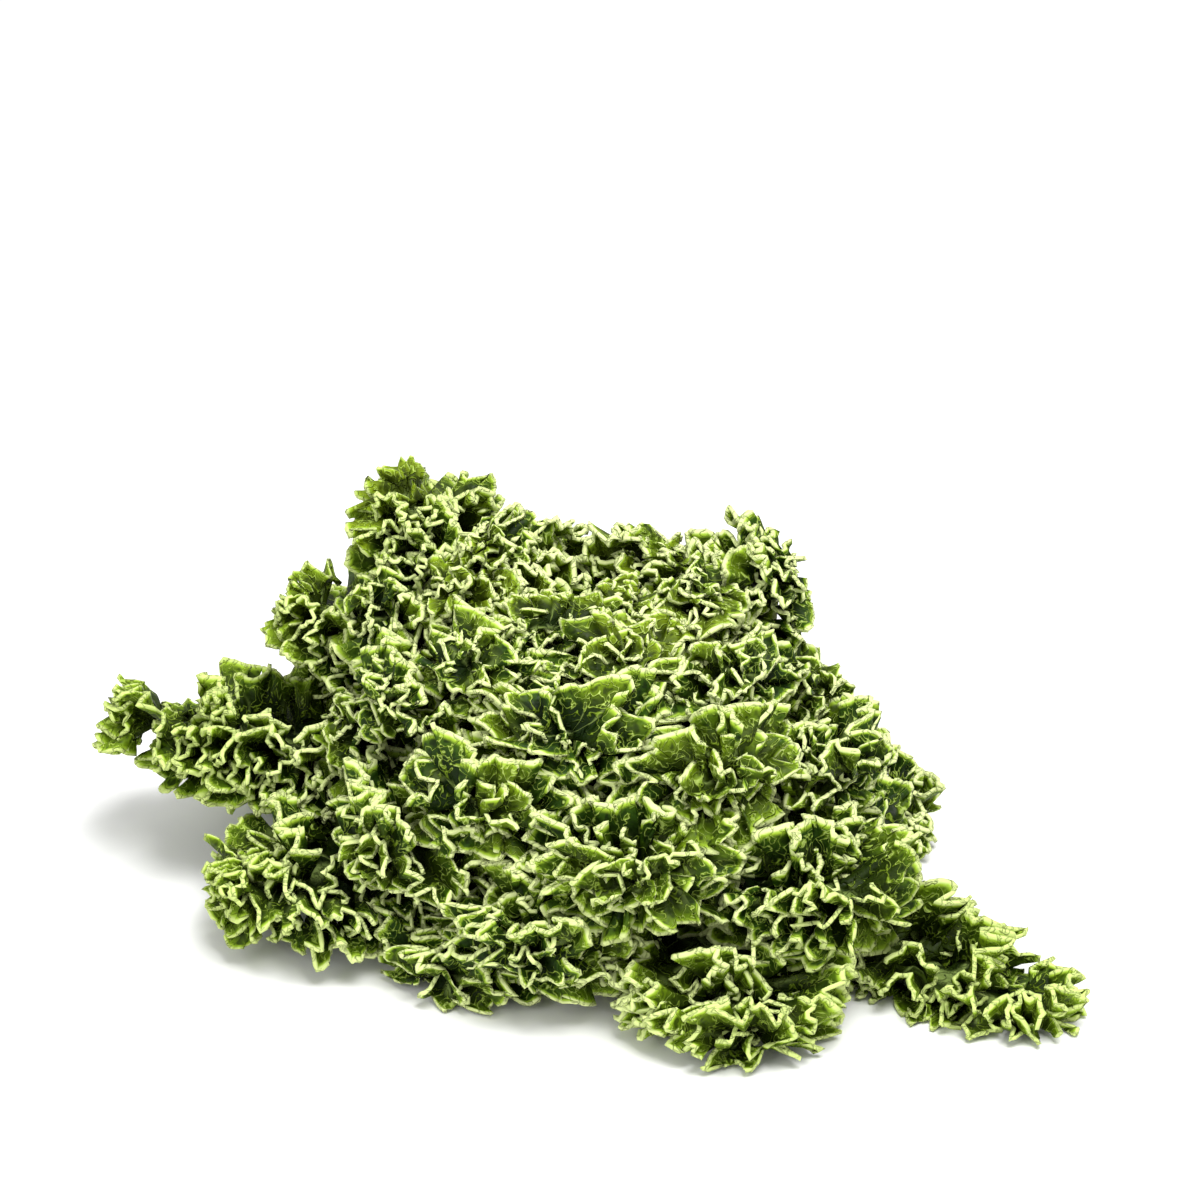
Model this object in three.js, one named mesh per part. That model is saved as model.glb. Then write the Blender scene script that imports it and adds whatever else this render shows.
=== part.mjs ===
// A head of curly leaf lettuce, standing on its cut foot with its lowest leaves spread on the table.
// Millimetres and degrees, +Z up, origin at the centre of the cut foot.
//
// The head is a short core with forty-eight leaves round it, one after another at the golden angle. Every
// leaf lies on its own bowl round the foot. A bowl is given by its polar angle, the angle above the table,
// at each distance from the foot. The bowls are ordered from the flat lowest leaf to the steep heart leaf
// and never meet, so the leaves nest without touching. A leaf is a curved slab, thick along its midrib and
// thin at its edge. The frilled margin is a finish and isn't modelled here.
import * as THREE from "three";

const LEAF_COUNT = 48;
const GOLDEN_ANGLE = 137.508;
const FIRST_AZIMUTH = -38; // lowest leaf, from +X towards +Y

const CORE_RADIUS = 17;
const CORE_HEIGHT = 62;
const CORE_GAP = 0.6; // between a leaf's foot and the core

const ROOT_ANGLE = { lowest: 12, heart: 84 }; // polar angle at the core
const TIP_ANGLE = { lowest: 0.1, heart: 71 }; // polar angle at the common span
const TIP_STEP = 3; // added to the tip angle over all levels, to keep the grounded leaves' bowls apart
const SPAN = 140; // distance from the foot at which the tip angle is reached
const BOWL_BEND = 0.8; // below 1, a bowl turns from its root angle early
const GROUNDED_LEVEL = 0.1; // leaves below this level lie on the table

const REACH = { lowest: 125, heart: 104 }; // distance from the foot to a leaf's tip
const HALF_WIDTH = { lowest: 34, heart: 33 };
const STALK_HALF_WIDTH = { lowest: 6.5, heart: 5 };
const RIB_THICKNESS = { foot: 3, tip: 1.5 };
const EDGE_THICKNESS = 1.1;
const WIDEST_WRAP = 109; // how far round its bowl half a leaf may close, degrees
const LEAST_BOWL_RADIUS = 3;

// The head grew unevenly: towards each of these directions its leaves are longer and wider, or shorter and
// narrower, in millimetres.
const GROWTH_CHANGES = [
  { azimuth: -37, elevation: 2, spread: 12, longer: 43, wider: -11 }, // long leaf at the right front
  { azimuth: -70, elevation: 8, spread: 24, longer: 8, wider: 2 }, // front
  { azimuth: -122, elevation: 6, spread: 26, longer: -22, wider: 0 }, // left front
  { azimuth: 198, elevation: 8, spread: 18, longer: 14, wider: 6 }, // under the left lobe
  { azimuth: 170, elevation: 14, spread: 16, longer: 40, wider: 5 }, // lobe at the left
  { azimuth: 187, elevation: 38, spread: 16, longer: -26, wider: 0 }, // gap above that lobe
  { azimuth: 140, elevation: 58, spread: 22, longer: 32, wider: 0 }, // crown, left
  { azimuth: 75, elevation: 52, spread: 30, longer: -32, wider: 0 }, // back
  { azimuth: 16, elevation: 62, spread: 15, longer: 31, wider: 0 }, // crown, right
  { azimuth: -8, elevation: 8, spread: 22, longer: -36, wider: 0 }, // right flank
  { azimuth: 22, elevation: 30, spread: 26, longer: -42, wider: 0 }, // right shoulder
];
const LIFT = { azimuth: 195, spread: 26, by: 8 }; // leaves at the left are held this much higher
const LEAN = { x: -0.12, y: 0.05 }; // sideways shift of the head for each millimetre of height

const STATIONS_ALONG = 8;
const STATIONS_ACROSS = 6;
const BLADE_RISE = 1.35; // outline: how slowly the blade widens from its foot
const BLADE_ROUND = 0.5; // outline: how bluntly it closes at the tip
const STALK_FADE = 1.2; // the stalk's width has gone this much before the tip
const LAST_STATION = 0.93; // of a quarter turn: the slab ends in a short edge here

const radians = THREE.MathUtils.degToRad;
const between = THREE.MathUtils.lerp;
const clamp = THREE.MathUtils.clamp;

function direction(azimuth, elevation) {
  return new THREE.Vector3(
    Math.cos(elevation) * Math.cos(azimuth),
    Math.cos(elevation) * Math.sin(azimuth),
    Math.sin(elevation),
  );
}

function bell(x) {
  return Math.exp(-x * x);
}

// Extra polar angle of the leaves at the left, in radians.
function liftAt(azimuth) {
  const turn = azimuth - radians(LIFT.azimuth);
  const away = Math.atan2(Math.sin(turn), Math.cos(turn));
  return radians(LIFT.by) * bell(away / radians(LIFT.spread));
}

// Polar angle of a leaf's bowl at a distance from the foot, in radians.
function polarAngle(level, distance, azimuth) {
  const root = between(ROOT_ANGLE.lowest, ROOT_ANGLE.heart, level);
  const risen = clamp((level - GROUNDED_LEVEL) / (1 - GROUNDED_LEVEL), 0, 1);
  const tip = between(TIP_ANGLE.lowest, TIP_ANGLE.heart, risen) + TIP_STEP * level;
  const along = clamp((distance - CORE_RADIUS) / (SPAN - CORE_RADIUS), 0, 1);
  const angle = radians(between(root, tip, Math.pow(along, BOWL_BEND)));
  const lifted = clamp(level / GROUNDED_LEVEL - 1, 0, 1);
  return angle + liftAt(azimuth) * along * Math.cos(angle) * lifted;
}

// Distance from the foot to the core's surface: the core is half an ellipsoid.
function coreDistance(angle) {
  return 1 / Math.hypot(Math.cos(angle) / CORE_RADIUS, Math.sin(angle) / CORE_HEIGHT);
}

function lean(point) {
  return point.set(point.x + LEAN.x * point.z, point.y + LEAN.y * point.z, point.z);
}

function planLeaf(index) {
  const level = index / (LEAF_COUNT - 1);
  const azimuth = radians(FIRST_AZIMUTH + index * GOLDEN_ANGLE);
  const tip = direction(azimuth, polarAngle(level, SPAN, azimuth));
  let reach = between(REACH.lowest, REACH.heart, level * level);
  let halfWidth = between(HALF_WIDTH.lowest, HALF_WIDTH.heart, level);
  for (const change of GROWTH_CHANGES) {
    const towards = direction(radians(change.azimuth), radians(change.elevation));
    const strength = bell(tip.angleTo(towards) / radians(change.spread));
    reach += change.longer * strength;
    halfWidth += change.wider * strength;
  }
  const rootAngle = polarAngle(level, CORE_RADIUS, azimuth) + RIB_THICKNESS.foot / CORE_RADIUS;
  return {
    level,
    azimuth,
    reach,
    root: coreDistance(rootAngle) + CORE_GAP,
    halfWidth,
    stalkHalfWidth: between(STALK_HALF_WIDTH.lowest, STALK_HALF_WIDTH.heart, level),
  };
}

// Half width of a leaf at a share of its length.
function halfWidthAt(leaf, share) {
  const widest = BLADE_RISE / (BLADE_RISE + BLADE_ROUND);
  const outline = (x) => Math.pow(x, BLADE_RISE) * Math.pow(1 - x, BLADE_ROUND);
  const stalk = leaf.stalkHalfWidth * clamp(1 - STALK_FADE * share, 0, 1);
  return (leaf.halfWidth * outline(share)) / outline(widest) + stalk;
}

// A point of the leaf: share of its length, side from -1 to 1, and face, 0 for the outer and 1 for the inner.
function leafPoint(leaf, share, side, face) {
  const distance = between(leaf.root, leaf.reach, share);
  const across = side * halfWidthAt(leaf, share);
  const angleAtRib = polarAngle(leaf.level, distance, leaf.azimuth);
  const bowlRadius = Math.max(distance * Math.cos(angleAtRib), LEAST_BOWL_RADIUS);
  const wrap = radians(WIDEST_WRAP);
  const azimuth = leaf.azimuth + wrap * Math.tanh(across / (bowlRadius * wrap));
  const rib = between(RIB_THICKNESS.foot, RIB_THICKNESS.tip, share);
  const thickness = between(rib, EDGE_THICKNESS, Math.abs(side));
  const angle = polarAngle(leaf.level, distance, azimuth) + (face * thickness) / distance;
  return lean(direction(azimuth, angle).multiplyScalar(distance));
}

function leafGeometry(leaf) {
  const points = [];
  for (const face of [0, 1])
    for (let i = 0; i <= STATIONS_ALONG; i++)
      for (let j = 0; j <= STATIONS_ACROSS; j++) {
        const share = Math.sin((Math.PI / 2) * LAST_STATION * (i / STATIONS_ALONG));
        points.push(leafPoint(leaf, share, (2 * j) / STATIONS_ACROSS - 1, face));
      }
  const row = STATIONS_ACROSS + 1;
  const at = (face, i, j) => (face * (STATIONS_ALONG + 1) + i) * row + j;
  const triangles = [];
  const quad = (a, b, c, d) => triangles.push(a, b, c, a, c, d);
  for (let i = 0; i < STATIONS_ALONG; i++)
    for (let j = 0; j < STATIONS_ACROSS; j++) {
      quad(at(0, i, j), at(0, i, j + 1), at(0, i + 1, j + 1), at(0, i + 1, j));
      quad(at(1, i, j), at(1, i + 1, j), at(1, i + 1, j + 1), at(1, i, j + 1));
    }
  for (let i = 0; i < STATIONS_ALONG; i++) {
    quad(at(0, i, 0), at(0, i + 1, 0), at(1, i + 1, 0), at(1, i, 0));
    const last = STATIONS_ACROSS;
    quad(at(0, i, last), at(1, i, last), at(1, i + 1, last), at(0, i + 1, last));
  }
  for (let j = 0; j < STATIONS_ACROSS; j++) {
    quad(at(0, 0, j), at(1, 0, j), at(1, 0, j + 1), at(0, 0, j + 1));
    const last = STATIONS_ALONG;
    quad(at(0, last, j), at(0, last, j + 1), at(1, last, j + 1), at(1, last, j));
  }
  const geometry = new THREE.BufferGeometry().setFromPoints(points);
  geometry.setIndex(triangles);
  geometry.computeVertexNormals();
  return geometry;
}

function coreGeometry() {
  const rings = 10;
  const sides = 24;
  const profile = [new THREE.Vector2(0, 0)];
  for (let i = 0; i < rings; i++) {
    const turn = (Math.PI / 2) * (i / rings);
    profile.push(new THREE.Vector2(CORE_RADIUS * Math.cos(turn), CORE_HEIGHT * Math.sin(turn)));
  }
  profile.push(new THREE.Vector2(0, CORE_HEIGHT));
  const geometry = new THREE.LatheGeometry(profile, sides).rotateX(Math.PI / 2);
  const positions = geometry.attributes.position;
  const point = new THREE.Vector3();
  for (let i = 0; i < positions.count; i++) {
    lean(point.fromBufferAttribute(positions, i));
    positions.setXYZ(i, point.x, point.y, point.z);
  }
  geometry.computeVertexNormals();
  return geometry;
}

const head = new THREE.Group();

const coreMaterial = new THREE.MeshStandardMaterial({ color: 0xdfe6b8, roughness: 0.6, metalness: 0 });
const core = new THREE.Mesh(coreGeometry(), coreMaterial);
core.name = "core";
head.add(core);

const outerGreen = new THREE.Color(0x5f7f2a);
const heartGreen = new THREE.Color(0xb5c65a);
for (let index = 0; index < LEAF_COUNT; index++) {
  const leaf = planLeaf(index);
  const material = new THREE.MeshStandardMaterial({
    color: outerGreen.clone().lerp(heartGreen, leaf.level),
    roughness: 0.5,
    metalness: 0,
  });
  const mesh = new THREE.Mesh(leafGeometry(leaf), material);
  mesh.name = "leaf_" + String(index + 1).padStart(2, "0");
  head.add(mesh);
}

export default head;
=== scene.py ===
"""A head of curly leaf lettuce: forty-eight frilled leaves round a short core."""
import math

import bmesh
import bpy
import numpy as np
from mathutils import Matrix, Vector


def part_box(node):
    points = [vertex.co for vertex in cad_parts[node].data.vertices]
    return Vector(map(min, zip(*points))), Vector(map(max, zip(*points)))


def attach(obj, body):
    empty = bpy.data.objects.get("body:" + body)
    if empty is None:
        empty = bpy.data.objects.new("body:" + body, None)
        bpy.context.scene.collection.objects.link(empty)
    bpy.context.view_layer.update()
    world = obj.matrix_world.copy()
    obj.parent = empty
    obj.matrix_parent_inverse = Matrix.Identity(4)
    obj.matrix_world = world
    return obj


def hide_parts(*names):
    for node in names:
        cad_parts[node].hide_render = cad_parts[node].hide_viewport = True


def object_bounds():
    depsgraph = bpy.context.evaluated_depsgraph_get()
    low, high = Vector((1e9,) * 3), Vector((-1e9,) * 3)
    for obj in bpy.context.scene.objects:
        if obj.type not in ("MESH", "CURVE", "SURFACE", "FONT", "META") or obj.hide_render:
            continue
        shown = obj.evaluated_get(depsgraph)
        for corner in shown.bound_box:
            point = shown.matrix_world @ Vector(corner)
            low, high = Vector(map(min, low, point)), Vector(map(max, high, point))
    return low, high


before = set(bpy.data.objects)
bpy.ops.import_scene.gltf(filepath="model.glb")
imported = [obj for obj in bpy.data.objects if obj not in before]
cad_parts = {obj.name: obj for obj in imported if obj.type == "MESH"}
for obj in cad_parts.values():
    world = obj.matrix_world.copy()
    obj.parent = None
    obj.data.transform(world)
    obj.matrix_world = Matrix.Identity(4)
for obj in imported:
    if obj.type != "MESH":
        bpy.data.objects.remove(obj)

CAD_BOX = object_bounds()
MM = 0.001

# ------------------------------------------------ the head's layout, in millimetres and degrees
LEAF_COUNT = 48
GOLDEN_ANGLE = math.radians(137.508)
FIRST_AZIMUTH = math.radians(-38)
CORE_RADIUS, CORE_HEIGHT, CORE_GAP = 17.0, 62.0, 0.6
ROOT_ANGLE = (12.0, 84.0)  # of the lowest leaf and of the heart leaf
TIP_ANGLE = (0.1, 71.0)
TIP_STEP = 3.0
SPAN = 140.0
BOWL_BEND = 0.8
GROUNDED_LEVEL = 0.10
REACH = (125.0, 104.0)
HALF_WIDTH = (34.0, 33.0)
STALK_HALF_WIDTH = (6.5, 5.0)
FOOT_THICKNESS = 3.0
WIDEST_WRAP = math.radians(109)  # how far round the head a leaf reaches to each side
LEAST_BOWL_RADIUS = 3.0
BLADE_RISE, BLADE_ROUND, STALK_FADE = 1.35, 0.5, 1.2
OUTLINE_POINTS = 400
LIFT_AZIMUTH, LIFT_SPREAD, LIFT = math.radians(195), math.radians(26), math.radians(8)
LEAN = (-0.12, 0.05)
# azimuth, elevation, spread, and how much longer and how much wider each side the leaves that way are
GROWTH_CHANGES = (
    (-37, 2, 12, 43, -11),
    (-70, 8, 24, 8, 2),
    (-122, 6, 26, -22, 0),
    (198, 8, 18, 14, 6),
    (170, 14, 16, 40, 5),
    (187, 38, 16, -26, 0),
    (140, 58, 22, 32, 0),
    (75, 52, 30, -32, 0),
    (16, 62, 15, 31, 0),
    (-8, 8, 22, -36, 0),
    (22, 30, 26, -42, 0),
)

# ---------------------------------------------------------------- the frill
# azimuth, elevation, spread, and how much further out than the plain leaf the frill that way reaches
FRILL_CHANGES = (
    (82, 52, 26, -16),
    (140, 58, 22, 3),
    (16, 62, 15, 7),
    (-37, 2, 12, 5),
    (-10, 8, 12, 7),
    (187, 8, 10, 9),
)
COARSE_SPACING = 1.47  # millimetres of leaf edge for each coarse column of the mesh
FINE_COLUMNS = 3000
LEAST_CROWDING = 0.3
# A leaf's frills, from its own edge inwards: size against the leaf, how far the frill stands off
# the blade, the share of its way from the midrib where it starts, and its mesh rows inside,
# between and at the edge.
FRILLS = (
    (1.00, 0.0, 0.0, (3, 2, 1)),
    (0.90, 7.0, 0.5, (1, 1, 1)),
    (0.81, -7.0, 0.5, (1, 1, 1)),
)
MIDDLE_START, EDGE_START = 0.62, 0.90  # share of the way out where the finer rows begin
SPINE_SLOPE, SPINE_END = 0.45, 0.86  # the slant of the folds off the midrib, and where the last one starts
FULL_FROM, LEAST_FULL = 0.35, 0.1  # share of the leaf where the frill is full, and the least at its root
NOTCH = 9.0  # how far the bays between a leaf's lobes reach in
LEAST_RAY = 1.6 * NOTCH
LOBE_LENGTH, LOBE_SWAY, LOBE_VARIETY = 12.0, 3.0, 0.4
FOLD_LENGTH, FOLD_HEIGHT, FOLD_LOOP = 14.5, 8.6, 0.45
FOLD_SWAY, FOLD_VARIETY, FOLD_SLANT = 0.8, 0.55, 0.9
BEND_LENGTH, BEND_HEIGHT, BEND_DROP = 60.0, 7.0, 2.0
CRIMP_LENGTH, CRIMP_HEIGHT, CRIMP_LOOP = 4.5, 3.7, 0.50
CRIMP_SWAY, CRIMP_VARIETY, CRIMP_START = 0.35, 0.4, 0.30
TOOTH_LENGTH, TOOTH_HEIGHT = 3.5, 0.2
TABLE_SOFTNESS, TABLE_CLEARANCE = 2.5, 0.75
TABLE_REACH = 8  # in softnesses: the height above which a leaf doesn't feel the table
RIB_THICKNESS = 0.003
BLADE_SHARE, RIM_SHARE = 0.26, 0.42  # of the rib's thickness, for the blade and for the edge
RIB_TAPER = 0.6  # how much of the thickness the rib loses by its tip
RIB_LIMIT, RIM_LIMIT = 0.05, 0.99  # rows inside the first are the rib, and past the second the edge
THICKNESS_STEPS = 40
MERGE_DISTANCE = 2e-5

FIRST_INNER_LEAF, FIRST_HEART_LEAF = 20, 38
leaf_names = [f"leaf_{index + 1:02d}" for index in range(LEAF_COUNT)]
slot_of_leaf = {
    name: "outer_leaf" if index < FIRST_INNER_LEAF
    else "inner_leaf" if index < FIRST_HEART_LEAF
    else "heart_leaf"
    for index, name in enumerate(leaf_names)
}


def mix(pair, share):
    return pair[0] + (pair[1] - pair[0]) * share


def bell(x):
    return np.exp(-x * x)


def unit(vectors):
    return vectors / np.maximum(np.linalg.norm(vectors, axis=-1, keepdims=True), 1e-9)


def direction(azimuth, elevation):
    return np.array([
        math.cos(elevation) * math.cos(azimuth),
        math.cos(elevation) * math.sin(azimuth),
        math.sin(elevation),
    ])


# ---------------------------------------------------------------- the bowls that the leaves lie on
def polar_angle(level, distance, azimuth):
    """Angle above the table of a leaf's bowl, at a distance from the foot."""
    risen = min(max((level - GROUNDED_LEVEL) / (1 - GROUNDED_LEVEL), 0), 1)
    tip = mix(TIP_ANGLE, risen) + TIP_STEP * level
    along = np.clip((distance - CORE_RADIUS) / (SPAN - CORE_RADIUS), 0, 1)
    angle = np.radians(mix((mix(ROOT_ANGLE, level), tip), along**BOWL_BEND))
    turn = azimuth - LIFT_AZIMUTH
    away = np.arctan2(np.sin(turn), np.cos(turn))
    lifted = min(max(level / GROUNDED_LEVEL - 1, 0), 1)
    return angle + LIFT * bell(away / LIFT_SPREAD) * along * np.cos(angle) * lifted


def plan_leaf(index):
    level = index / (LEAF_COUNT - 1)
    azimuth = FIRST_AZIMUTH + index * GOLDEN_ANGLE
    tip = direction(azimuth, float(polar_angle(level, SPAN, azimuth)))
    reach = mix(REACH, level**2)
    half_width = mix(HALF_WIDTH, level)
    for towards, up, spread, longer, wider in GROWTH_CHANGES:
        cosine = float(tip @ direction(math.radians(towards), math.radians(up)))
        strength = bell(math.degrees(math.acos(min(max(cosine, -1), 1))) / spread)
        reach += longer * strength
        half_width += wider * strength
    angle = polar_angle(level, CORE_RADIUS, azimuth) + FOOT_THICKNESS / CORE_RADIUS
    core = 1 / math.hypot(math.cos(angle) / CORE_RADIUS, math.sin(angle) / CORE_HEIGHT)
    return {
        "index": index,
        "level": level,
        "azimuth": azimuth,
        "reach": reach,
        "root": core + CORE_GAP,
        "half_width": half_width,
        "stalk": mix(STALK_HALF_WIDTH, level),
    }


def on_bowl(leaf, along, across):
    """Points of the leaf's bowl, by millimetres along from its root and across from its midrib."""
    distance = leaf["root"] + along
    at_rib = polar_angle(leaf["level"], distance, leaf["azimuth"])
    radius = np.maximum(distance * np.cos(at_rib), LEAST_BOWL_RADIUS)
    azimuth = leaf["azimuth"] + WIDEST_WRAP * np.tanh(across / (radius * WIDEST_WRAP))
    angle = polar_angle(leaf["level"], distance, azimuth)
    x = distance * np.cos(angle) * np.cos(azimuth)
    y = distance * np.cos(angle) * np.sin(azimuth)
    z = distance * np.sin(angle)
    return np.stack([x + LEAN[0] * z, y + LEAN[1] * z, z], -1)


# ---------------------------------------------------------------- the leaf's edge and its folds
def wander(rng, positions, cell):
    """Smooth random values from -1 to 1 along a line."""
    count = int(positions.max() / cell) + 4
    knots = rng.uniform(-1, 1, count)
    place = positions / cell
    before = np.clip(place.astype(int), 0, count - 2)
    share = place - before
    share = share * share * (3 - 2 * share)
    return knots[before] * (1 - share) + knots[before + 1] * share


def edge_line(leaf):
    """The leaf's outline from its root round the tip and back: along, across and length so far."""
    share = np.sin(np.linspace(0, math.pi / 2, OUTLINE_POINTS))
    widest = BLADE_RISE / (BLADE_RISE + BLADE_ROUND)
    top = widest**BLADE_RISE * (1 - widest) ** BLADE_ROUND
    blade = share**BLADE_RISE * (1 - share) ** BLADE_ROUND / top
    half = leaf["half_width"] * blade + leaf["stalk"] * np.clip(1 - STALK_FADE * share, 0, 1)
    half[-1] = 0
    along = share * (leaf["reach"] - leaf["root"])
    along = np.concatenate([along, along[-2::-1]])
    across = np.concatenate([half, -half[-2::-1]])
    run = np.concatenate([[0], np.cumsum(np.hypot(np.diff(along), np.diff(across)))])
    return along, across, run


def rows_of_frill(start, counts):
    """Share of the way from midrib to edge of every row: wide rows inside, narrow ones at the edge."""
    inner_rows, middle_rows, edge_rows = counts
    middle_start = mix((start, 1), MIDDLE_START)
    inner = np.linspace(start, middle_start, inner_rows, endpoint=False)
    middle = np.linspace(middle_start, EDGE_START, middle_rows, endpoint=False)
    return np.concatenate([inner, middle, np.linspace(EDGE_START, 1, edge_rows + 1)])


def onset(share, start, power):
    return np.clip((share - start) / (1 - start), 0, 1) ** power


def normals_of(points):
    """Unit normals and unit along-edge tangents of a grid of points."""
    along = np.gradient(points, axis=0)
    out = np.gradient(points, axis=1)
    return unit(np.cross(out, along)), unit(along)


def rise(points, normal, tangent, height, phase, loop):
    """Folds the grid: up and down along its normal, with the crests looped over to the side."""
    up = (height * np.sin(phase))[..., None]
    side = (loop * height * np.sin(2 * phase))[..., None]
    return points + normal * up - tangent * side


def rounded(points, passes):
    """Eases sharp turns along the edge."""
    for _ in range(passes):
        points[1:-1] = (points[:-2] + 2 * points[1:-1] + points[2:]) / 4
    return points


def length_along(points):
    return np.concatenate([[0], np.cumsum(np.linalg.norm(np.diff(points, axis=0), axis=1))])


def edge_frame(leaf, run_at):
    """The leaf's edge at each place: along and across, the spine it springs from, and how full it is."""
    length = leaf["reach"] - leaf["root"]
    edge_along, edge_across, run = edge_line(leaf)
    rim_along = np.interp(run_at, run, edge_along)
    rim_across = np.interp(run_at, run, edge_across)
    spine = np.clip(rim_along - SPINE_SLOPE * np.abs(rim_across), 0, SPINE_END * length)
    full = np.clip(rim_along / (FULL_FROM * length), LEAST_FULL, 1)
    return run_at, rim_along, rim_across, spine, full


def place_columns(leaf, columns, lift, seed):
    """Where along the plain edge the columns go, so that they are evenly spaced along the folded one."""
    run_at = np.linspace(0, edge_line(leaf)[2][-1], FINE_COLUMNS)
    edge = edge_frame(leaf, run_at)
    edge_points = folded(leaf, edge, np.ones((1, 1)), np.zeros(len(run_at)), lift, seed)[:, 0]
    steps = np.diff(length_along(edge_points)) * np.maximum(edge[-1][1:], LEAST_CROWDING)
    crowded = np.concatenate([[0], np.cumsum(steps)])
    return np.interp(np.linspace(0, crowded[-1], columns), crowded, run_at)


def folded(leaf, edge, share, drawn_in, lift, seed):
    """The leaf with its broad folds, as points over columns and shares of the way to the edge."""
    rng = np.random.default_rng(seed)
    run_at, rim_along, rim_across, spine, full = edge
    way = share * (1 - drawn_in[:, None] * share)
    along = spine[:, None] + (rim_along - spine)[:, None] * way
    across = rim_across[:, None] * way
    points = on_bowl(leaf, along, across)
    step = 0.5
    by_along = on_bowl(leaf, along + step, across) - on_bowl(leaf, along - step, across)
    by_across = on_bowl(leaf, along, across + step) - on_bowl(leaf, along, across - step)
    normal = unit(np.cross(by_across, by_along))
    edge_points = on_bowl(leaf, rim_along, rim_across)
    tangent = unit(np.gradient(edge_points, axis=0))[:, None, :] * np.ones_like(points)
    turns = run_at / FOLD_LENGTH + FOLD_SWAY * wander(rng, run_at, 1.5 * FOLD_LENGTH)
    phase = 2 * math.pi * turns[:, None] + FOLD_SLANT * (share - 1) + rng.uniform(0, 6)
    height = FOLD_HEIGHT * (1 + FOLD_VARIETY * wander(rng, run_at, FOLD_LENGTH))[:, None]
    height = height * onset(share, 0.03, 1.1) * full[:, None]
    points = rise(points, normal, tangent, height, phase, FOLD_LOOP)
    bend = BEND_HEIGHT * wander(rng, run_at, BEND_LENGTH) - BEND_DROP
    off_blade = bend[:, None] * onset(share, 0.3, 2) + lift * onset(share, 0.4, 1)
    return points + normal * off_blade[..., None]


def frill_points(leaf, edge, rows, lift, seed):
    """The frill's points, columns round the edge by rows from midrib to edge."""
    rng = np.random.default_rng(seed + 1000)
    run_at, rim_along, rim_across, spine, full = edge
    columns = len(run_at)
    share = rows[None, :]
    ray = np.hypot(rim_along - spine, rim_across)
    unnotched = folded(leaf, edge, np.ones((1, 1)), np.zeros(columns), lift, seed)
    run = length_along(unnotched[:, 0])
    sway = LOBE_SWAY * wander(rng, run, 1.5 * LOBE_LENGTH)
    bays = 0.5 + 0.5 * np.sin(2 * math.pi * run / LOBE_LENGTH + sway)
    depth = NOTCH * full * bays * (1 + LOBE_VARIETY * wander(rng, run, LOBE_LENGTH))
    drawn_in = depth / np.maximum(ray, LEAST_RAY)
    points = folded(leaf, edge, share, drawn_in, lift, seed)

    run = length_along(points[:, -1])
    normal, tangent = normals_of(points)
    turns = run / CRIMP_LENGTH + CRIMP_SWAY * wander(rng, run, 1.3 * CRIMP_LENGTH)
    height = CRIMP_HEIGHT * (1 + CRIMP_VARIETY * wander(rng, run, CRIMP_LENGTH))[:, None]
    height = height * onset(share, CRIMP_START, 1.0) * full[:, None]
    phase = (2 * math.pi * turns + rng.uniform(0, 6))[:, None] * np.ones_like(share)
    points = rounded(rise(points, normal, tangent, height, phase, CRIMP_LOOP), 1)

    outward = unit(points[:, -1] - points[:, -2])
    tooth = np.abs((run / TOOTH_LENGTH) % 1 - 0.5) * 2 - 0.5
    points[:, -1] += outward * (TOOTH_HEIGHT * tooth[:, None] * 2 * full[:, None])
    above = (points[..., 2] - TABLE_CLEARANCE) / TABLE_SOFTNESS
    softened = TABLE_CLEARANCE + TABLE_SOFTNESS * np.log1p(np.exp(np.clip(above, -40, TABLE_REACH)))
    points[..., 2] = np.where(above > TABLE_REACH, points[..., 2], softened)
    return points


# ---------------------------------------------------------------- leaf meshes
def graded_grid(name, coarse, counts):
    """A flat grid with coarse columns inside, halved in the middle rows and again near the edge."""
    bm = bmesh.new()
    bmesh.ops.create_grid(bm, x_segments=coarse, y_segments=sum(counts), size=1)
    row_height = 2 / sum(counts)
    for first_row in (counts[0], counts[0] + counts[1]):
        level = -1 + first_row * row_height - 0.25 * row_height
        chosen = [
            edge for edge in bm.edges
            if abs(edge.verts[0].co.y - edge.verts[1].co.y) < 1e-6 and edge.verts[0].co.y > level
        ]
        bmesh.ops.subdivide_edges(bm, edges=chosen, cuts=1, use_grid_fill=True)
    bmesh.ops.triangulate(bm, faces=[face for face in bm.faces if len(face.verts) > 4])
    mesh = bpy.data.meshes.new(name)
    bm.to_mesh(mesh)
    bm.free()
    return mesh


def numbers_of(mesh, values):
    found = np.zeros(len(mesh.vertices) * 3)
    mesh.vertices.foreach_get(values, found)
    return found.reshape(-1, 3)


def add_attribute(mesh, name, values):
    layer = mesh.attributes.new(name, "FLOAT", "POINT")
    layer.data.foreach_set("value", np.asarray(values, np.float32))


def frilled_reach(leaf):
    """How far the leaf's frill reaches from the foot."""
    tip = direction(leaf["azimuth"], float(polar_angle(leaf["level"], SPAN, leaf["azimuth"])))
    reach = leaf["reach"]
    for towards, up, spread, further in FRILL_CHANGES:
        cosine = float(tip @ direction(math.radians(towards), math.radians(up)))
        reach += further * bell(math.degrees(math.acos(min(max(cosine, -1), 1))) / spread)
    return reach


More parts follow.
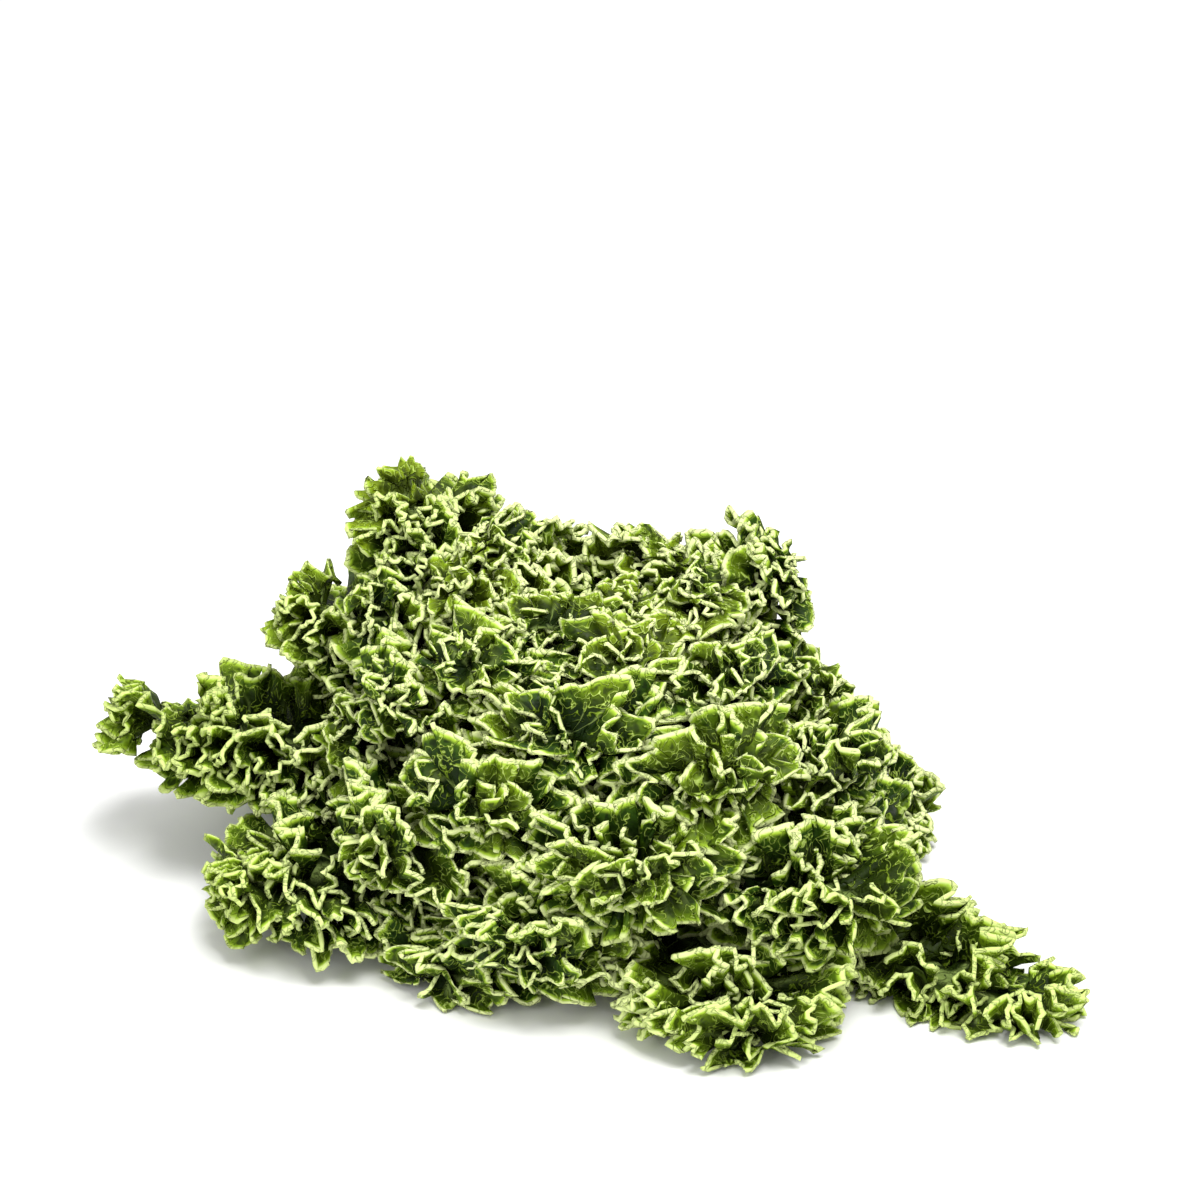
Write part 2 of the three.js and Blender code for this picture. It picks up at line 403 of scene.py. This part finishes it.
def frill_mesh(leaf, order):
    """One of a leaf's frills as a mesh, with where each point lies between midrib and edge."""
    size, lift, start, counts = FRILLS[order]
    length = leaf["reach"] - leaf["root"]
    smaller = dict(leaf, reach=leaf["root"] + length * size, half_width=leaf["half_width"] * size)
    rows = rows_of_frill(start, counts)
    coarse = 2 * round(edge_line(smaller)[2][-1] / COARSE_SPACING / 2)
    columns = 4 * coarse + 1
    seed = 100 * order + leaf["index"]
    edge = edge_frame(smaller, place_columns(smaller, columns, lift, seed))
    points = frill_points(smaller, edge, rows, lift, seed)
    mesh = graded_grid(f"{leaf_names[leaf['index']]}_frill_{order}", coarse, counts)
    flat = numbers_of(mesh, "co")
    column = np.rint((flat[:, 0] + 1) / 2 * (columns - 1)).astype(int)
    row = np.rint((flat[:, 1] + 1) / 2 * (len(rows) - 1)).astype(int)
    mesh.vertices.foreach_set("co", (points[column, row] * MM).ravel())
    run_at, rim_along = edge[:2]
    add_attribute(mesh, "rim", rows[row])
    add_attribute(mesh, "ray", run_at[column])
    rib = 1 - RIB_TAPER * rim_along[column] / length
    inside = np.where(rows[row] < RIB_LIMIT, rib, BLADE_SHARE)
    add_attribute(mesh, "thick", np.where(rows[row] > RIM_LIMIT, RIM_SHARE, inside))
    return mesh


def weigh(piece, layer):
    """Gives a piece the vertex group that its thickness follows, in even steps."""
    values = np.zeros(len(layer.data), np.float32)
    layer.data.foreach_get("value", values)
    steps = np.rint(values * THICKNESS_STEPS).astype(int)
    group = piece.vertex_groups.new(name="thick")
    for step in np.unique(steps):
        weight = float(step) / THICKNESS_STEPS
        group.add(np.flatnonzero(steps == step).tolist(), weight, "REPLACE")


def make_leaf(index, material):
    leaf = plan_leaf(index)
    leaf["reach"] = frilled_reach(leaf)
    bm = bmesh.new()
    for order in range(len(FRILLS)):
        mesh = frill_mesh(leaf, order)
        bm.from_mesh(mesh)
        bpy.data.meshes.remove(mesh)
    bmesh.ops.remove_doubles(bm, verts=bm.verts, dist=MERGE_DISTANCE)
    bmesh.ops.recalc_face_normals(bm, faces=bm.faces)
    for face in bm.faces:
        face.smooth = True
    mesh = bpy.data.meshes.new(f"{leaf_names[index]}_frilled")
    bm.to_mesh(mesh)
    bm.free()
    piece = bpy.data.objects.new(f"{leaf_names[index]}_frilled", mesh)
    bpy.context.scene.collection.objects.link(piece)
    mesh.materials.append(material)
    weigh(piece, mesh.attributes["thick"])
    thickness = piece.modifiers.new("thickness", "SOLIDIFY")
    thickness.thickness = RIB_THICKNESS
    thickness.vertex_group = "thick"
    thickness.offset = 0
    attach(piece, "root")
    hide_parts(leaf_names[index])


# ---------------------------------------------------------------- materials
HEAD_CENTRE = (0.0, 0.0, 0.02)
SUNLIT_REACH = (0.085, 0.135)  # metres from the head's centre over which leaves turn yellow-green
VEIN_SPACING, VEIN_WOBBLE = 8.0, 60.0
PATCH_SCALE, RIDGE_SCALE, GRAIN_SCALE = 34.0, 270.0, 900.0
RIDGE_WIDTH = 0.055
PALE = (0.84, 0.93, 0.42)
YOUNG = (0.36, 0.54, 0.035)
SUNLIT_EDGE = (0.56, 0.72, 0.14)
VEIN_GREEN = (0.34, 0.46, 0.12)
# the painted shade, near black, for the folds deep in the head; the plain blade; and the yellow-green of
# the blade's patches
LEAF_SHADE_AND_COLORS = {
    "outer_leaf": ((0.002, 0.006, 0.0005), (0.028, 0.075, 0.003), (0.17, 0.28, 0.008)),
    "inner_leaf": ((0.002, 0.007, 0.0005), (0.034, 0.085, 0.004), (0.20, 0.31, 0.009)),
    "heart_leaf": ((0.003, 0.008, 0.0005), (0.045, 0.10, 0.004), (0.26, 0.37, 0.011)),
}
LEAF_GLOSS, STEM_GLOSS = 0.12, 0.3
LEAF_BUMP, STEM_BUMP = (0.8, 0.0012), (0.6, 0.0005)  # strength, and depth in metres
TRANSLUCENCE = 0.14  # share of the light that passes through a leaf
VESSEL_RING, VESSEL_WIDTH = 0.0115, 0.0016  # radius and width of the ring in the cut foot
FOOT_EDGE = (0.0004, 0.0022)  # heights over which the cut foot gives way to the side
FIBRE_TURNS = 9.0


def new_material(name):
    material = bpy.data.materials.new(name)
    material.use_nodes = True
    return material, material.node_tree


def new_group(name, inputs, outputs):
    """A node group: Position is a vector, and every other socket is a number."""
    tree = bpy.data.node_groups.new(name, "ShaderNodeTree")
    for socket in inputs:
        kind = "NodeSocketVector" if socket == "Position" else "NodeSocketFloat"
        tree.interface.new_socket(name=socket, in_out="INPUT", socket_type=kind)
    for socket in outputs:
        tree.interface.new_socket(name=socket, in_out="OUTPUT", socket_type="NodeSocketFloat")
    return tree, tree.nodes.new("NodeGroupInput"), tree.nodes.new("NodeGroupOutput")


def use_group(tree, group, **values):
    node = tree.nodes.new("ShaderNodeGroup")
    node.node_tree = group
    for name, value in values.items():
        if isinstance(value, bpy.types.NodeSocket):
            tree.links.new(value, node.inputs[name])
        else:
            node.inputs[name].default_value = value
    return node


def calculate(tree, operation, *values):
    node = tree.nodes.new("ShaderNodeMath")
    node.operation = operation
    for socket, value in zip(node.inputs, values):
        if isinstance(value, bpy.types.NodeSocket):
            tree.links.new(value, socket)
        else:
            socket.default_value = value
    return node.outputs["Value"]


def ease(tree, value, start, end, low=0.0, high=1.0):
    """Smooth step of a value between two limits."""
    node = tree.nodes.new("ShaderNodeMapRange")
    node.interpolation_type = "SMOOTHSTEP"
    tree.links.new(value, node.inputs["Value"])
    for name, number in (("From Min", start), ("From Max", end), ("To Min", low), ("To Max", high)):
        if isinstance(number, bpy.types.NodeSocket):
            tree.links.new(number, node.inputs[name])
        else:
            node.inputs[name].default_value = number
    return node.outputs["Result"]


def noise(tree, position, scale, detail=2.0, distortion=0.0):
    node = tree.nodes.new("ShaderNodeTexNoise")
    tree.links.new(position, node.inputs["Vector"])
    if isinstance(scale, bpy.types.NodeSocket):
        tree.links.new(scale, node.inputs["Scale"])
    else:
        node.inputs["Scale"].default_value = scale
    node.inputs["Detail"].default_value = detail
    node.inputs["Distortion"].default_value = distortion
    return node.outputs["Fac"]


def tint(tree, share, under, over):
    """Colour under with colour over laid on it by a share. The node's sockets go by number."""
    node = tree.nodes.new("ShaderNodeMix")
    node.data_type = "RGBA"
    tree.links.new(share, node.inputs[0])
    for number, color in ((6, under), (7, over)):
        if isinstance(color, bpy.types.NodeSocket):
            tree.links.new(color, node.inputs[number])
        else:
            node.inputs[number].default_value = (*color, 1)
    return node.outputs[2]


def crinkle_group():
    """Thin wandering ridges, and the hollows between them as a mask for painted shade."""
    tree, given, result = new_group("crinkle", ("Position", "Scale", "Width"), ("Ridge", "HollowShade"))
    field = noise(tree, given.outputs["Position"], given.outputs["Scale"], 1.5, 0.7)
    away = calculate(tree, "ABSOLUTE", calculate(tree, "SUBTRACT", field, 0.5))
    ridge = ease(tree, away, 0.0, given.outputs["Width"], 1.0, 0.0)
    tree.links.new(ridge, result.inputs["Ridge"])
    # where the painted shade goes: the hollows between the ridges
    tree.links.new(ease(tree, away, 0.07, 0.2), result.inputs["HollowShade"])
    return tree


def mottle_group():
    """Broad patches of colour and a fine grain."""
    tree, given, result = new_group("mottle", ("Position", "Scale"), ("Patch", "Grain"))
    field = noise(tree, given.outputs["Position"], given.outputs["Scale"])
    tree.links.new(ease(tree, field, 0.38, 0.62), result.inputs["Patch"])
    grain = noise(tree, given.outputs["Position"], GRAIN_SCALE, 3.0)
    tree.links.new(grain, result.inputs["Grain"])
    return tree


def vein_group():
    """Side veins running out from the midrib, and the midrib itself."""
    tree, given, result = new_group("vein", ("Ray", "Rim", "Wobble", "Spacing"), ("Vein", "Rib"))
    place = calculate(tree, "DIVIDE", given.outputs["Ray"], given.outputs["Spacing"])
    bent = calculate(tree, "ADD", place, given.outputs["Wobble"])
    away = calculate(tree, "PINGPONG", bent, 0.5)
    line = ease(tree, away, 0.0, 0.11, 1.0, 0.0)
    fade = ease(tree, given.outputs["Rim"], 0.35, 0.9, 1.0, 0.0)
    tree.links.new(calculate(tree, "MULTIPLY", line, fade), result.inputs["Vein"])
    tree.links.new(ease(tree, given.outputs["Rim"], 0.03, 0.16, 1.0, 0.0), result.inputs["Rib"])
    return tree


def attribute(tree, name):
    node = tree.nodes.new("ShaderNodeAttribute")
    node.attribute_name = name
    return node.outputs["Fac"]


def add_bump(tree, height, strength_and_depth):
    node = tree.nodes.new("ShaderNodeBump")
    node.inputs["Strength"].default_value = strength_and_depth[0]
    node.inputs["Distance"].default_value = strength_and_depth[1]
    tree.links.new(height, node.inputs["Height"])
    return node


def leaf_material(name, groups):
    """Frilled leaf: painted shade, near black, towards the midrib and in the hollows between the crinkles;
    pale along the edge, with crinkles, veins and patches.
    """
    painted_shade, blade, vivid = LEAF_SHADE_AND_COLORS[name]
    material, tree = new_material(name)
    nodes, links = tree.nodes, tree.links
    principled = nodes["Principled BSDF"]
    position = nodes.new("ShaderNodeTexCoord").outputs["Object"]
    rim = attribute(tree, "rim")
    mottle = use_group(tree, groups["mottle"], Position=position, Scale=PATCH_SCALE)
    crinkle = use_group(tree, groups["crinkle"], Position=position, Scale=RIDGE_SCALE, Width=RIDGE_WIDTH)
    wobble = noise(tree, position, VEIN_WOBBLE)
    ray = attribute(tree, "ray")
    vein = use_group(tree, groups["vein"], Ray=ray, Rim=rim, Wobble=wobble, Spacing=VEIN_SPACING)

    outer = nodes.new("ShaderNodeVectorMath")
    outer.operation = "DISTANCE"
    links.new(position, outer.inputs[0])
    outer.inputs[1].default_value = HEAD_CENTRE
    sunlit = ease(tree, outer.outputs["Value"], *SUNLIT_REACH)
    by_patch = calculate(tree, "MULTIPLY", mottle.outputs["Patch"], 0.7)
    by_sun = calculate(tree, "MULTIPLY", sunlit, 0.45)
    patchy = calculate(tree, "ADD", by_patch, by_sun)
    leafy = tint(tree, ease(tree, patchy, 0.05, 0.95), blade, vivid)
    # painted shade: near black towards the midrib, giving way to the leaf's colour towards the edge
    color = tint(tree, ease(tree, rim, 0.65, 0.98), painted_shade, leafy)
    # painted shade in the hollows between the crinkles
    painted_hollow_shade = calculate(tree, "MULTIPLY", crinkle.outputs["HollowShade"], 0.85)
    color = tint(tree, painted_hollow_shade, color, painted_shade)
    grain = calculate(tree, "MULTIPLY", mottle.outputs["Grain"], 0.25)
    color = tint(tree, grain, color, leafy)
    lines = calculate(tree, "MAXIMUM", vein.outputs["Vein"], vein.outputs["Rib"])
    color = tint(tree, calculate(tree, "MULTIPLY", lines, 0.6), color, VEIN_GREEN)
    near = ease(tree, rim, 0.35, 0.7)
    near_ridge = calculate(tree, "MULTIPLY", crinkle.outputs["Ridge"], near)
    ridge = calculate(tree, "MULTIPLY", near_ridge, 0.75)
    color = tint(tree, ridge, color, YOUNG)
    pale = tint(tree, calculate(tree, "MULTIPLY", sunlit, 0.6), PALE, SUNLIT_EDGE)
    color = tint(tree, ease(tree, ridge, 0.55, 1.0, 0.0, 0.8), color, pale)
    color = tint(tree, ease(tree, rim, 0.91, 0.96), color, YOUNG)
    color = tint(tree, ease(tree, rim, 0.95, 0.985), color, pale)

    links.new(color, principled.inputs["Base Color"])
    roughness = ease(tree, mottle.outputs["Grain"], 0.3, 0.7, 0.36, 0.6)
    links.new(roughness, principled.inputs["Roughness"])
    principled.inputs["Specular IOR Level"].default_value = LEAF_GLOSS
    height = calculate(tree, "ADD", crinkle.outputs["Ridge"], calculate(tree, "MULTIPLY", lines, 0.8))
    height = calculate(tree, "ADD", height, calculate(tree, "MULTIPLY", mottle.outputs["Grain"], 0.25))
    bump = add_bump(tree, height, LEAF_BUMP)
    links.new(bump.outputs["Normal"], principled.inputs["Normal"])
    glow = nodes.new("ShaderNodeBsdfTranslucent")
    links.new(color, glow.inputs["Color"])
    links.new(bump.outputs["Normal"], glow.inputs["Normal"])
    blend = nodes.new("ShaderNodeMixShader")
    blend.inputs["Fac"].default_value = TRANSLUCENCE
    links.new(principled.outputs["BSDF"], blend.inputs[1])
    links.new(glow.outputs["BSDF"], blend.inputs[2])
    links.new(blend.outputs["Shader"], nodes["Material Output"].inputs["Surface"])
    return material


def stem_material(foot_height):
    """Pale stem: fibres up its side, and a browned cut foot with a ring of vessels."""
    material, tree = new_material("stem")
    nodes, links = tree.nodes, tree.links
    principled = nodes["Principled BSDF"]
    position = nodes.new("ShaderNodeTexCoord").outputs["Object"]
    apart = nodes.new("ShaderNodeSeparateXYZ")
    links.new(position, apart.inputs["Vector"])
    x, y, z = (apart.outputs[axis] for axis in "XYZ")
    squares = calculate(tree, "ADD", calculate(tree, "POWER", x, 2.0), calculate(tree, "POWER", y, 2.0))
    across = calculate(tree, "SQRT", squares)
    turn = calculate(tree, "ARCTAN2", y, x)
    blotch = noise(tree, position, 160.0, 3.0)
    fine = noise(tree, position, 1400.0, 3.0)
    fibre_place = calculate(tree, "ADD", calculate(tree, "MULTIPLY", turn, FIBRE_TURNS), blotch)
    fibre = calculate(tree, "PINGPONG", fibre_place, 0.5)
    wobbly = calculate(tree, "ADD", across, calculate(tree, "MULTIPLY", blotch, 0.003))
    away = calculate(tree, "ABSOLUTE", calculate(tree, "SUBTRACT", wobbly, VESSEL_RING))
    ring = ease(tree, away, 0.0, VESSEL_WIDTH, 1.0, 0.0)
    on_foot = ease(tree, z, foot_height + FOOT_EDGE[0], foot_height + FOOT_EDGE[1], 1.0, 0.0)
    color = tint(tree, fibre, (0.55, 0.62, 0.30), (0.72, 0.76, 0.50))
    color = tint(tree, calculate(tree, "MULTIPLY", fine, 0.5), color, (0.40, 0.50, 0.18))
    cut = tint(tree, ease(tree, blotch, 0.35, 0.65), (0.62, 0.55, 0.33), (0.36, 0.20, 0.09))
    cut = tint(tree, ring, cut, (0.22, 0.10, 0.045))
    cut = tint(tree, ease(tree, fine, 0.45, 0.75, 0.0, 0.5), cut, (0.70, 0.66, 0.45))
    color = tint(tree, on_foot, color, cut)
    links.new(color, principled.inputs["Base Color"])
    links.new(ease(tree, fine, 0.3, 0.7, 0.42, 0.65), principled.inputs["Roughness"])
    principled.inputs["Specular IOR Level"].default_value = STEM_GLOSS
    fine_height = calculate(tree, "MULTIPLY", fine, 0.4)
    height = calculate(tree, "ADD", fine_height, calculate(tree, "MULTIPLY", fibre, 0.5))
    height = calculate(tree, "SUBTRACT", height, calculate(tree, "MULTIPLY", ring, 0.6))
    bump = add_bump(tree, height, STEM_BUMP)
    links.new(bump.outputs["Normal"], principled.inputs["Normal"])
    return material


# the cut foot and its broken edge: shares of the radius out, and of the height up
FOOT_PROFILE = (
    (0.0, 0.0),
    (0.3, 0.0),
    (0.6, 0.0),
    (0.86, 0.0),
    (0.93, 0.004),
    (0.965, 0.016),
    (0.975, 0.04),
)
CORE_STEPS, CORE_SPOKES = 14, 72
CORE_TOP_START, CORE_TOP_TURN, CORE_FULLNESS = 4, 86, 0.98


def make_core(low, high, material):
    """The stem, turned from its profile: a flat cut foot with a broken edge, then an egg-shaped top."""
    radius = (high.x - low.x) / 2
    height = high.z - low.z
    centre = ((low.x + high.x) / 2, (low.y + high.y) / 2, low.z)
    profile = list(FOOT_PROFILE)
    for step in range(1, CORE_STEPS + 1):
        angle = math.radians(CORE_TOP_START + CORE_TOP_TURN * step / CORE_STEPS)
        profile.append((CORE_FULLNESS * math.cos(angle), math.sin(angle)))
    bm = bmesh.new()
    points = [
        bm.verts.new((low.x + radius + radius * out, centre[1], low.z + height * up))
        for out, up in profile
    ]
    lines = [bm.edges.new(pair) for pair in zip(points, points[1:])]
    bmesh.ops.spin(
        bm, geom=points + lines, cent=centre, axis=(0, 0, 1),
        angle=math.tau, steps=CORE_SPOKES, use_merge=True,
    )
    bmesh.ops.remove_doubles(bm, verts=bm.verts, dist=1e-5)
    bmesh.ops.recalc_face_normals(bm, faces=bm.faces)
    for face in bm.faces:
        face.smooth = abs(face.normal.z) < 0.98
    mesh = bpy.data.meshes.new("core_stem")
    bm.to_mesh(mesh)
    bm.free()
    piece = bpy.data.objects.new("core_stem", mesh)
    bpy.context.scene.collection.objects.link(piece)
    mesh.materials.append(material)
    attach(piece, "root")
    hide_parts("core")


def plain_material(name, color, roughness):
    material, tree = new_material(name)
    principled = tree.nodes["Principled BSDF"]
    principled.inputs["Base Color"].default_value = (*color, 1)
    principled.inputs["Roughness"].default_value = roughness
    return material


# ---------------------------------------------------------------- the studio
VIEW_ELEVATION = math.radians(25)
VIEW_DISTANCE = 1.4
VIEW_WIDTH = 0.372  # metres across the picture at the head
VIEW_SHIFT = (-0.0062, 0.0837)  # from the foot to the picture's centre, right and up
SENSOR_WIDTH = 36
FLOOR_SIZE = 4
DAYLIGHT = 0.7
# place and size in metres, and power in watts
SOFTBOXES = (
    ("key", (0.25, -0.4, 1.4), 0.8, 26),
    ("fill", (-0.9, -1.0, 0.8), 0.8, 6),
)


def add_camera(foot):
    camera = bpy.data.cameras.new("camera")
    camera.sensor_width = SENSOR_WIDTH
    camera.lens = camera.sensor_width * VIEW_DISTANCE / VIEW_WIDTH
    stand = bpy.data.objects.new("camera", camera)
    bpy.context.scene.collection.objects.link(stand)
    back = Vector((0, -math.cos(VIEW_ELEVATION), math.sin(VIEW_ELEVATION)))
    up = Vector((0, math.sin(VIEW_ELEVATION), math.cos(VIEW_ELEVATION)))
    centre = foot + Vector((1, 0, 0)) * VIEW_SHIFT[0] + up * VIEW_SHIFT[1]
    stand.location = centre + back * VIEW_DISTANCE
    stand.rotation_mode = "QUATERNION"
    stand.rotation_quaternion = (-back).to_track_quat("-Z", "Y")
    bpy.context.scene.camera = stand


def add_softbox(name, place, size, power, target):
    light = bpy.data.lights.new(name, "AREA")
    light.shape = "SQUARE"
    light.size = size
    light.energy = power
    stand = bpy.data.objects.new(name, light)
    bpy.context.scene.collection.objects.link(stand)
    stand.location = place
    stand.rotation_mode = "QUATERNION"
    stand.rotation_quaternion = (target - Vector(place)).to_track_quat("-Z", "Y")


def add_floor(height):
    bm = bmesh.new()
    bmesh.ops.create_grid(bm, x_segments=1, y_segments=1, size=FLOOR_SIZE)
    bmesh.ops.translate(bm, verts=bm.verts, vec=(0, 0, height))
    mesh = bpy.data.meshes.new("floor")
    bm.to_mesh(mesh)
    bm.free()
    floor = bpy.data.objects.new("floor", mesh)
    bpy.context.scene.collection.objects.link(floor)
    mesh.materials.append(plain_material("floor", (0.9, 0.9, 0.9), 0.8))


def add_world():
    world = bpy.data.worlds.new("studio")
    bpy.context.scene.world = world
    world.use_nodes = True
    background = world.node_tree.nodes["Background"]
    background.inputs["Color"].default_value = (1, 1, 1, 1)
    background.inputs["Strength"].default_value = DAYLIGHT


low, high = CAD_BOX
core_low, core_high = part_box("core")
foot = Vector((0, 0, core_low.z))
groups = {"crinkle": crinkle_group(), "mottle": mottle_group(), "vein": vein_group()}
finishes = {name: leaf_material(name, groups) for name in LEAF_SHADE_AND_COLORS}
for index, name in enumerate(leaf_names):
    make_leaf(index, finishes[slot_of_leaf[name]])
make_core(core_low, core_high, stem_material(core_low.z))
add_camera(foot)
add_floor(low.z)
add_world()
middle = (low + high) / 2
for name, place, size, power in SOFTBOXES:
    add_softbox(name, place, size, power, middle)
bpy.context.scene.view_settings.view_transform = "Standard"
